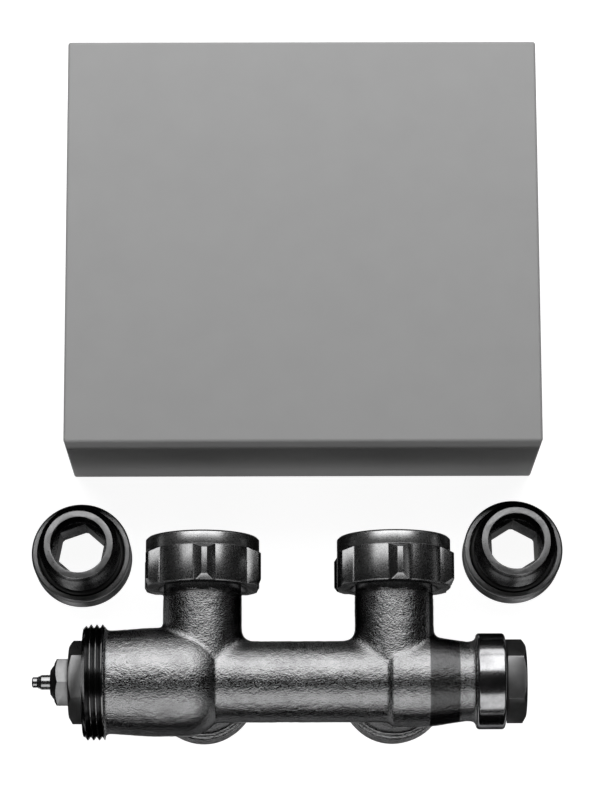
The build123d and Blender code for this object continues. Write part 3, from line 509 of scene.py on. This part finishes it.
def waterway_plugs():
    """Round bars that lie inside the casting and fill all its bores."""
    mouth = LEFT_FACE - AXIS.x - PLUG_RUN
    inner = mouth + HEAD_PLUG_LENGTH
    plugs = [bar("plug", "X", AXIS, HEAD_PLUG_R, mouth, inner),
             bar("plug", "X", AXIS, TUBE_PLUG_R, inner - MM, RIGHT_FACE - AXIS.x + PLUG_RUN)]
    for centre in STUB_PLACES.values():
        plugs.append(bar("plug", "Y", centre, STUB_PLUG_R, 0, STUB_PLUG_LENGTH))
        plugs.append(lathe("plug", "Z", centre, [
            (0, PORT_PLUG_FOOT), (PORT_PLUG_R, PORT_PLUG_FOOT), (PORT_PLUG_R, PORT_PLUG_SHOULDER),
            (PORT_PLUG_NECK_R, PORT_PLUG_SHOULDER + MM), (PORT_PLUG_NECK_R, 0), (0, 0)]))
    return plugs


def join(objects, name):
    """Joins meshes into one object without changing them."""
    clear()
    for obj in objects:
        obj.select_set(True)
    bpy.context.view_layer.objects.active = objects[0]
    bpy.ops.object.join()
    objects[0].name = objects[0].data.name = name
    return objects[0]


skin = join([copy_node("valve_body", "casting"), *waterway_plugs()], "valve_body_casting")
print("Body and plugs:", count(skin), "triangles")

# %% [markdown]
# The remesh keeps the flat facets of the CAD mesh, so the round arms are smoothed well, and the
# port flanges below them only a little, because their rims are crisp. Three cloud textures then
# move the skin along its normals: long waves from the mould, shallow dents, and a fine grain. The
# faces are 0.42 mm wide, so the finest grain is left to the finish.

# %% One even, dented skin
SKIN_FACE = 0.42 * MM
SKIN_DENTS = ((5.0 * MM, 0.10 * MM), (1.6 * MM, 0.10 * MM), (0.8 * MM, 0.09 * MM))
ARM_SMOOTHING, SKIN_SMOOTHING = 26, 5
ARM_DEPTH, STUB_START = 8.5 * MM, 9.0 * MM


def dent(obj, size, depth):
    """Moves the skin in and out by a cloud pattern of a given size."""
    texture = bpy.data.textures.new("dents", "CLOUDS")
    texture.noise_scale = size
    texture.noise_depth = 2
    apply_modifier(obj, "DISPLACE", texture=texture, texture_coords="LOCAL", strength=depth, mid_level=0.5)
    return obj


pick(skin)
skin.data.remesh_voxel_size = SKIN_FACE
bpy.ops.object.voxel_remesh()
edit(skin)
bpy.ops.mesh.separate(type="LOOSE")
done()
shells = sorted(bpy.context.selected_objects, key=lambda obj: len(obj.data.vertices))
skin = shells.pop()
for shell in shells:
    bpy.data.objects.remove(shell)
skin.name = skin.data.name = "valve_body_casting"
CRISP_BANDS = ((-27.0 * MM, -20.5 * MM), (21.8 * MM, 25.4 * MM))


def is_round(place):
    """True on the long round arms, away from the flanges and from the two crisp shoulders."""
    along = place.x - AXIS.x
    in_band = place.y < AXIS.y + STUB_START and any(start < along < end for start, end in CRISP_BANDS)
    return place.z > AXIS.z - ARM_DEPTH and not in_band


arms = skin.vertex_groups.new(name="arms")
arms.add([vertex.index for vertex in skin.data.vertices if is_round(vertex.co)], 1, "ADD")
apply_modifier(skin, "SMOOTH", factor=0.5, iterations=ARM_SMOOTHING, vertex_group="arms")
apply_modifier(skin, "SMOOTH", factor=0.5, iterations=SKIN_SMOOTHING)
for size, depth in SKIN_DENTS:
    dent(skin, size, depth)
print("Skin:", count(skin), "triangles, shells dropped:", len(shells))

# %% [markdown]
# The skin ends where the real casting is machined: at the head thread, at the collar, at the
# necks of the stubs and under the port flanges. The waterways come back as a Boolean. Their
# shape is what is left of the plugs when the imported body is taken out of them, so each seat and
# duct sits where the CAD has it.

# %% Trim the skin and open the waterways
cut_away(skin, Vector((THREAD_END, 0, 0)), Vector((-1, 0, 0)))
cut_away(skin, Vector((COLLAR_START, 0, 0)), Vector((1, 0, 0)))
cut_away(skin, Vector((0, NECK_START, 0)), Vector((0, 1, 0)))
cut_away(skin, Vector((0, 0, FLANGE_END)), Vector((0, 0, -1)))
plugs = waterway_plugs()
waterways = plugs.pop(0)
for plug in plugs:
    combine(waterways, plug, "UNION")
combine(waterways, copy_node("valve_body", "body_tool"), "DIFFERENCE")
print("Waterways:", count(waterways), "triangles")
combine(skin, waterways, "DIFFERENCE")
print("Casting:", count(skin), "triangles")
pick(skin)
bpy.ops.object.shade_smooth()
paint(skin, CAST)
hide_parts("valve_body")
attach(skin, "block")

# %% [markdown]
# ## Machined ends of the casting
#
# The thread for the thermostatic head, the collar, the necks and the port threads are the same
# piece of brass as the casting, but turned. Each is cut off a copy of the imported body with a
# plane, so its bores stay true, and the threads are then cut into it: M30 x 1.5 for the head,
# and the pipe thread G 3/4 on the ports.

# %% Turned ends
HEAD_PITCH = 1.5 * MM
HEAD_CREST, HEAD_ROOT = 15.0 * MM, 14.05 * MM
PIPE_PITCH = 1.814 * MM
PIPE_CREST, PIPE_ROOT = 13.22 * MM, 12.1 * MM
PORT_REACH = 27.5 * MM
PORT_THREAD_LENGTH = 9.5 * MM


def machined(name, point, normal, finish):
    """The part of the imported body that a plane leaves, with a turned finish."""
    obj = cut_away(copy_node("valve_body", name), Vector(point), Vector(normal))
    paint(obj, finish)
    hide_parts("valve_body")
    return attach(obj, "block")


def smooth(obj, angle=20):
    """Smooth shading, with edges sharper than the angle kept crisp."""
    pick(obj)
    bpy.ops.object.shade_smooth_by_angle(angle=radians(angle))
    return obj


# The head thread's darker finish is painted shade in its flanks and roots.
head_end = machined("valve_body_head_thread", (THREAD_END, 0, 0), (1, 0, 0), HEAD_THREAD_PAINTED_SHADE)
smooth(cut_thread(head_end, "X", AXIS, LEFT_FACE - AXIS.x, THREAD_END - LEFT_FACE,
                  HEAD_CREST, HEAD_ROOT, HEAD_PITCH))
collar = smooth(machined("valve_body_collar", (COLLAR_START, 0, 0), (-1, 0, 0), BLOCK_TURNED))
for side, sign in SIDES.items():
    neck = machined(f"valve_body_neck_{side}", (0, NECK_START, 0), (0, -1, 0), STUB_TURNED[side])
    smooth(cut_away(neck, Vector((AXIS.x, 0, 0)), Vector((-sign, 0, 0))))
    port = machined(f"valve_body_port_{side}", (0, 0, FLANGE_END), (0, 0, 1), PORT_TURNED[side])
    cut_away(port, Vector((AXIS.x, 0, 0)), Vector((-sign, 0, 0)))
    smooth(cut_thread(port, "Z", STUB_PLACES[side], -PORT_REACH, PORT_THREAD_LENGTH,
                      PIPE_CREST, PIPE_ROOT, PIPE_PITCH))

# %% [markdown]
# ## Union nuts
#
# A union nut is a plated forging with a turned ring and six ribs that a spanner grips. Each rib is
# a ridge: a narrow flat tip between two flanks at 45 degrees, which mirror the dark room on the
# front rib and the lamps on the side ribs. The ring is turned, one rib is drawn and extruded, its
# ends are bevelled by a turned envelope, and six copies are set round the ring.

# %% Helpers for finished copies
def broken_edges(obj, width, segments=2):
    """Rounds all the sharp edges of a mesh by a small width."""
    edit(obj)
    bpy.ops.mesh.dissolve_limited(angle_limit=radians(0.5))
    done()
    apply_modifier(obj, "BEVEL", width=width, segments=segments, limit_method="ANGLE",
                   angle_limit=radians(20), miter_outer="MITER_ARC")
    return obj


def finished(obj, node, body, finish):
    """A piece that stands for its CAD node: painted and riding its body."""
    paint(smooth(obj), finish)
    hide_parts(node)
    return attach(obj, body)


def duplicate(obj):
    """A copy with its own mesh."""
    other = obj.copy()
    other.data = obj.data.copy()
    bpy.context.scene.collection.objects.link(other)
    return other

# %% One rib
NUT_HEIGHT = 13.2 * MM
RIM_HEIGHT = 3.7 * MM
NUT_R = 14.85 * MM
RIB_TIP_R = 16.9 * MM
RIB_TIP_WIDTH = 1.4 * MM
RIB_WIDTH = 5.7 * MM
RIB_ROOT_R = 14.0 * MM
FOOT_R, FOOT_BEVEL = 15.5 * MM, 1.7 * MM
RIB_CLEARANCE = 0.3 * MM
RIB_HEAD_BEVEL = 1.4 * MM
SLIVER = 0.05 * MM


def nut_rib():
    """One rib of a nut that stands on Y = 0 about the Y axis."""
    flank_r = RIB_TIP_R - (RIB_WIDTH - RIB_TIP_WIDTH) / 2
    outline = [(-RIB_WIDTH / 2, RIB_ROOT_R), (-RIB_WIDTH / 2, flank_r), (-RIB_TIP_WIDTH / 2, RIB_TIP_R),
               (RIB_TIP_WIDTH / 2, RIB_TIP_R), (RIB_WIDTH / 2, flank_r), (RIB_WIDTH / 2, RIB_ROOT_R)]
    places = [Vector((across, 0, out)) for across, out in outline]
    rib = draw_line("nut_rib", places[0], places[1:] + places[:1], closed=True)
    edit(rib, "EDGE")
    bpy.ops.mesh.edge_face_add()
    bpy.ops.mesh.extrude_region_move(TRANSFORM_OT_translate={"value": (0, NUT_HEIGHT - RIM_HEIGHT, 0)})
    bpy.ops.mesh.select_all(action="SELECT")
    bpy.ops.mesh.normals_make_consistent(inside=False)
    done()
    top = NUT_HEIGHT - RIM_HEIGHT
    reach = RIB_TIP_R + RIB_CLEARANCE
    envelope = lathe("envelope", "Y", Vector((0, 0, 0)),
                     [(0, -MM), (FOOT_R - FOOT_BEVEL * 0.5, -MM), (FOOT_R, 0), (reach, FOOT_BEVEL),
                      (reach, top - RIB_HEAD_BEVEL), (NUT_R - 2 * SLIVER, top + SLIVER), (0, top + SLIVER)])
    return combine(rib, envelope, "INTERSECT")


# %% [markdown]
# The ring's section is a table of corners in millimetres, each a radius and a height: the foot
# with its bevel, the outside with a fine scored line under the rim, the rim's bevel, the mouth,
# the bore that the thread is cut into, its undercut, and the inner flange that the ring pulls on.

# %% Two nuts
NUT_SECTION = (
    (11.65, 0), (14.55, 0), (14.85, 0.3),
    (14.85, 9.35), (14.75, 9.42), (14.75, 9.58), (14.85, 9.65),
    (14.85, 12.7), (14.35, 13.2), (13.3, 13.2), (12.06, 11.96),
    (12.06, 8.0), (13.2, 7.5), (13.2, 3.0), (10.15, 3.0), (10.15, 1.5))
NUT_TURN = {"left": 2.9, "right": 4.1}
NUT_BORE_R, NUT_ROOT_R = 12.06 * MM, 13.15 * MM
NUT_THREAD_START, NUT_THREAD_LENGTH = 8.2 * MM, 5.0 * MM
ORIGIN = Vector((0, 0, 0))


def nut_ring():
    """The turned ring with its inner flange, standing on Y = 0 about the Y axis."""
    return lathe("nut_ring", "Y", ORIGIN, [(radius * MM, along * MM) for radius, along in NUT_SECTION])


for side, centre in STUB_PLACES.items():
    node = f"union_nut_{side}"
    low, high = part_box(node)
    nut = nut_ring()
    rib = nut_rib()
    for step in range(6):
        copy = duplicate(rib)
        copy.rotation_euler = (0, radians(NUT_TURN[side] + 60 * step), 0)
        combine(nut, settle(copy), "UNION")
    bpy.data.objects.remove(rib)
    nut.name = nut.data.name = node + "_finished"
    broken_edges(nut, 0.12 * MM)
    cut_thread(nut, "Y", ORIGIN, NUT_THREAD_START, NUT_THREAD_LENGTH, NUT_BORE_R, NUT_ROOT_R, PIPE_PITCH)
    nut.location = (centre.x, low.y, centre.z)
    settle(nut)
    finished(nut, node, f"nut_{side}", STUB_TURNED[side])
    # The rim's faces take that brighter copy of the nickel: a painted highlight.
    nut.data.materials.append(RIM_PAINTED_HIGHLIGHT[side])
    for face in nut.data.polygons:
        if face.center.y > low.y + NUT_HEIGHT - RIM_HEIGHT:
            face.material_index = 1
    print(nut.name, count(nut), "triangles", [round(size / MM, 2) for size in nut.dimensions], "CAD",
          [round(size / MM, 2) for size in high - low])

# %% [markdown]
# ## Hexagons
#
# The insert's hexagon, the small gland nut and the service cap are turned and milled brass. Their
# copies get crisp little bevels, which is what draws the bright lines along a machined edge. Each
# hexagon stopped at its own angle when it was tightened, so each copy is turned about the axis.

# %% Hexagons
MILLED_EDGE = 0.10 * MM
HEXAGONS = (("insert_housing", "block", -12), ("gland_nut", "block", 10), ("service_cap", "cap", -7.5))

for node, body, turned in HEXAGONS:
    piece = broken_edges(copy_node(node, node + "_finished"), MILLED_EDGE)
    edit(piece)
    bpy.ops.transform.rotate(value=radians(turned), orient_axis="X", center_override=AXIS)
    done()
    finished(piece, node, body, MILLED)
    print(piece.name, count(piece), "triangles, turned", turned)

# %% [markdown]
# ## Nipples
#
# A nipple screws into the radiator with its narrow end, G 1/2, and takes the union nut on its
# wide end, G 3/4. Both threads are cut, and the bore keeps its hexagon for the fitting key. Each
# nipple happens to lie turned a little differently, so its copy is turned about its own axis. The
# narrow thread, which looks much darker than the faces, takes a second, darker material: painted shade.

# %% Nipples
NIPPLE_TURN = {"left": 19, "right": 32}
NIPPLE_FLANGE, NIPPLE_TOP = 11.2 * MM, 23.7 * MM
WIDE_THREAD_LENGTH = 9.0 * MM
NARROW_THREAD_START, NARROW_THREAD_LENGTH = 14.2 * MM, 10.5 * MM
NARROW_CREST, NARROW_ROOT = 10.48 * MM, 9.4 * MM

for side in SIDES:
    node = f"nipple_{side}"
    low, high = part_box(node)
    centre = Vector(((low.x + high.x) / 2, (low.y + high.y) / 2, low.z))
    finish = turned_finish(f"turned_nickel_nipple_{side}", "Z", centre, (0.19, 0.19, 0.192),
                           (0.30, 0.30, 0.302), (0.26, 0.44))
    nipple = broken_edges(copy_node(node, node + "_finished"), MILLED_EDGE)
    edit(nipple)
    bpy.ops.transform.rotate(value=-radians(NIPPLE_TURN[side]), orient_axis="Z", center_override=centre)
    done()
    cut_thread(nipple, "Z", centre, 0, WIDE_THREAD_LENGTH, PIPE_CREST, PIPE_ROOT, PIPE_PITCH)
    cut_thread(nipple, "Z", centre, NARROW_THREAD_START, NARROW_THREAD_LENGTH,
               NARROW_CREST, NARROW_ROOT, PIPE_PITCH)
    finished(nipple, node, f"loose_nipple_{side}", finish)
    # A darker copy of the turned nickel for the narrow thread: painted shade in its flanks and roots.
    painted_shade_thread = turned_finish(f"turned_thread_painted_shade_nipple_{side}", "Z", centre, (0.07, 0.07, 0.071),
                                (0.13, 0.13, 0.131), (0.20, 0.34))
    nipple.data.materials.append(painted_shade_thread)
    for face in nipple.data.polygons:
        if NIPPLE_FLANGE < face.center.z - low.z < NIPPLE_TOP:
            face.material_index = 1
    print(nipple.name, count(nipple), "triangles")

# %% [markdown]
# ## The pieces that stay as the CAD has them
#
# Seals, springs, the pin and the inner pieces of both valves are true as they are. They only
# need their finishes, given by name in the lists below.

# %% Finishes on the CAD nodes
RUBBERS = ("insert_oring", "gland_oring", "disc_seal", "bush_oring", "spindle_oring", "shutoff_seal",
           "cap_seal", "stub_seal_left", "stub_seal_right", "nipple_oring_left", "nipple_oring_right")
STEELS = ("actuator_pin", "valve_spindle", "return_spring", "snap_ring_left", "snap_ring_right")
for name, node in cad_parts.items():
    if name == "cover_shell":
        paint(node, GREY_PLASTIC)
    elif name in RUBBERS:
        paint(node, RUBBER)
    elif name in STEELS:
        paint(node, STEEL)
    else:
        paint(node, BLOCK_TURNED)
print("CAD nodes painted:", len(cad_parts))

# %% [markdown]
# ## Table, lights and camera
#
# The set lies on a white table. The camera sees the table as white, and so does metal that
# mirrors it, and the table still takes the soft shadow of the set.

# %% Table
TABLE_SIZE = 6.0
TABLE_GAP = 0.05 * MM
TABLE_GREY = 0.35
TABLE_GLOW = 0.93


def table_finish():
    material, nodes, links, shader = new_material("white_table")
    shader.inputs["Base Color"].default_value = (TABLE_GREY, TABLE_GREY, TABLE_GREY, 1)
    shader.inputs["Roughness"].default_value = 0.9
    shader.inputs["Specular IOR Level"].default_value = 0
    shader.inputs["Emission Color"].default_value = (1, 1, 1, 1)
    path = nodes.new("ShaderNodeLightPath")
    seen = add_node(nodes, "Math", operation="MAXIMUM")
    links.new(path.outputs["Is Camera Ray"], seen.inputs[0])
    links.new(path.outputs["Is Glossy Ray"], seen.inputs[1])
    through = add_node(nodes, "Math", operation="MAXIMUM")
    links.new(seen.outputs["Value"], through.inputs[0])
    links.new(path.outputs["Is Transmission Ray"], through.inputs[1])
    strength = add_node(nodes, "Math", operation="MULTIPLY")
    strength.inputs[1].default_value = TABLE_GLOW
    links.new(through.outputs["Value"], strength.inputs[0])
    links.new(strength.outputs["Value"], shader.inputs["Emission Strength"])
    return material


clear()
bpy.ops.mesh.primitive_plane_add(size=TABLE_SIZE, location=(0, 0, cad_low.z - TABLE_GAP))
table = settle(bpy.context.object)
table.name = "table"
paint(table, table_finish())
table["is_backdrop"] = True

# %% [markdown]
# A round wall of the same white stands far behind the set on all sides, so that a view from low
# down meets white too. It is open above, so the lamps and the dark room over them stay as they are.

# %% Backdrop
WALL_RADIUS, WALL_HEIGHT, WALL_MIDDLE = 2.6, 1.2, 0.59

clear()
bpy.ops.mesh.primitive_cylinder_add(vertices=64, radius=WALL_RADIUS, depth=WALL_HEIGHT,
                                    end_fill_type="NOTHING", location=(0, 0, cad_low.z + WALL_MIDDLE))
backdrop = settle(bpy.context.object)
backdrop.name = "backdrop"
backdrop.visible_glossy = backdrop.visible_diffuse = False
paint(backdrop, table.data.materials[0])
backdrop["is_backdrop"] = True

# %% [markdown]
# Two long softboxes run along the pipe, one on each side of the camera. A round bar then shows
# two bright bands with a dark line between them, where it mirrors the gap that the camera looks
# through. A narrow third box beyond the cover's top edge lets the cover fade towards its foot.

# %% Softboxes
def softbox(name, lean, distance, length, width, radiance, shift=0.0):
    """An area lamp aimed at the pipe axis, leaning from straight up towards +Y by so many degrees."""
    towards = Vector((0, cos(radians(90 - lean)), cos(radians(lean))))
    lamp = bpy.data.lights.new(name, "AREA")
    lamp.shape, lamp.size, lamp.size_y = "RECTANGLE", length, width
    lamp.energy = radiance * pi * length * width
    obj = bpy.data.objects.new(name, lamp)
    bpy.context.scene.collection.objects.link(obj)
    obj.location = AXIS + towards * distance + AXES["X"] * shift
    obj.rotation_mode = "QUATERNION"
    obj.rotation_quaternion = towards.to_track_quat("Z", "Y")
    obj.visible_camera = False
    obj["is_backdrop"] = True
    return obj


softbox("north_softbox", 37, distance=0.60, length=0.90, width=0.42, radiance=2.7, shift=-0.03)
softbox("south_softbox", -57, distance=0.60, length=0.90, width=0.42, radiance=1.5, shift=-0.02)
softbox("far_softbox", 66, distance=0.36, length=0.70, width=0.10, radiance=2.2)

ROOM_GREY = 0.012
world = bpy.data.worlds.new("studio")
bpy.context.scene.world = world
world.use_nodes = True
room = world.node_tree.nodes["Background"].inputs
room["Color"].default_value = (ROOM_GREY, ROOM_GREY, ROOM_GREY, 1)
room["Strength"].default_value = 1.0

# %% [markdown]
# A photographer stands black cards round a shiny object, just outside the picture, so that its
# sides mirror something dark and stand out from the white table. These cards are seen only in
# reflections, and they take no light away. The one before the cover's foot does cast a shadow, so
# that the face behind it turns as dark as it is in the photo.

# %% Black cards
CARD_LENGTH, CARD_HEIGHT = 190 * MM, 34 * MM
MIDDLE_CARD_LENGTH, MIDDLE_CARD_OFFSET = 34 * MM, 29 * MM
CARD_ROW = AXIS.y + 50 * MM
SOUTH_GAP, SIDE_GAP, FOOT_GAP = 25 * MM, 20 * MM, 4.5 * MM
FOOT_CARD_HEIGHT = 24 * MM


def black_card(name, centre, turned, length=CARD_LENGTH):
    """A low black card on the table, seen only by mirror reflections."""
    clear()
    bpy.ops.mesh.primitive_plane_add(size=1, location=centre, rotation=(pi / 2, 0, pi / 2 if turned else 0))
    card = bpy.context.object
    card.scale = (length, CARD_HEIGHT, 1)
    settle(card)
    card.name = name
    card.visible_camera = card.visible_diffuse = card.visible_shadow = False
    paint(card, CARD_BLACK)
    card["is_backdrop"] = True
    return card


CARD_BLACK, card_nodes, card_links, card_shader = new_material("card_black")
card_shader.inputs["Base Color"].default_value = (0.005, 0.005, 0.005, 1)
card_shader.inputs["Specular IOR Level"].default_value = 0
card_middle = cad_low.z + CARD_HEIGHT / 2
black_card("south_card", (0, cad_low.y - SOUTH_GAP, card_middle), False)
black_card("west_card", (cad_low.x - SIDE_GAP, CARD_ROW, card_middle), True)
black_card("east_card", (cad_high.x + SIDE_GAP, CARD_ROW, card_middle), True)
black_card("middle_card", (AXIS.x, AXIS.y + MIDDLE_CARD_OFFSET, card_middle), True, MIDDLE_CARD_LENGTH)
cover_low, cover_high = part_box("cover_shell")
foot_card = black_card("foot_card", (0, cover_low.y - FOOT_GAP, cad_low.z + FOOT_CARD_HEIGHT), False)
foot_card.visible_shadow = True

# %% [markdown]
# The camera stands above the table and a little below the set, tilted by 12.7 degrees, with a
# long lens. The picture is 608 by 800, so the sensor's 36 mm belong to its height.

# %% Camera
CAMERA_PLACE = Vector((-2.94, -195.88, 890.17)) * MM
CAMERA_TILT, CAMERA_YAW, CAMERA_ROLL = radians(12.68), radians(0.31), radians(-0.2)
LENS = 150.44

forward = Vector((sin(CAMERA_YAW), sin(CAMERA_TILT), -cos(CAMERA_TILT))).normalized()
right = forward.cross(AXES["Y"]).normalized()
up = right.cross(forward)
right, up = (right * cos(CAMERA_ROLL) + up * sin(CAMERA_ROLL),
             up * cos(CAMERA_ROLL) - right * sin(CAMERA_ROLL))
camera_data = bpy.data.cameras.new("camera")
camera_data.lens, camera_data.sensor_width, camera_data.sensor_fit = LENS, 36, "AUTO"
camera_data.clip_start, camera_data.clip_end = 0.01, 20
camera = bpy.data.objects.new("camera", camera_data)
bpy.context.scene.collection.objects.link(camera)
turn = camera.matrix_world.to_3x3()
turn.col[0], turn.col[1], turn.col[2] = right, up, -forward
camera.rotation_mode = "QUATERNION"
camera.rotation_quaternion = turn.to_quaternion()
camera.location = CAMERA_PLACE
bpy.context.scene.camera = camera
bpy.context.scene.view_settings.view_transform = "Standard"

# %% [markdown]
# Last, the box of the dressed set is printed, to be read beside the CAD box printed at the start.

# %% Sizes and finish
clear()
low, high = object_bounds()
print("Visual box in mm:", [round(size / MM, 2) for size in high - low])
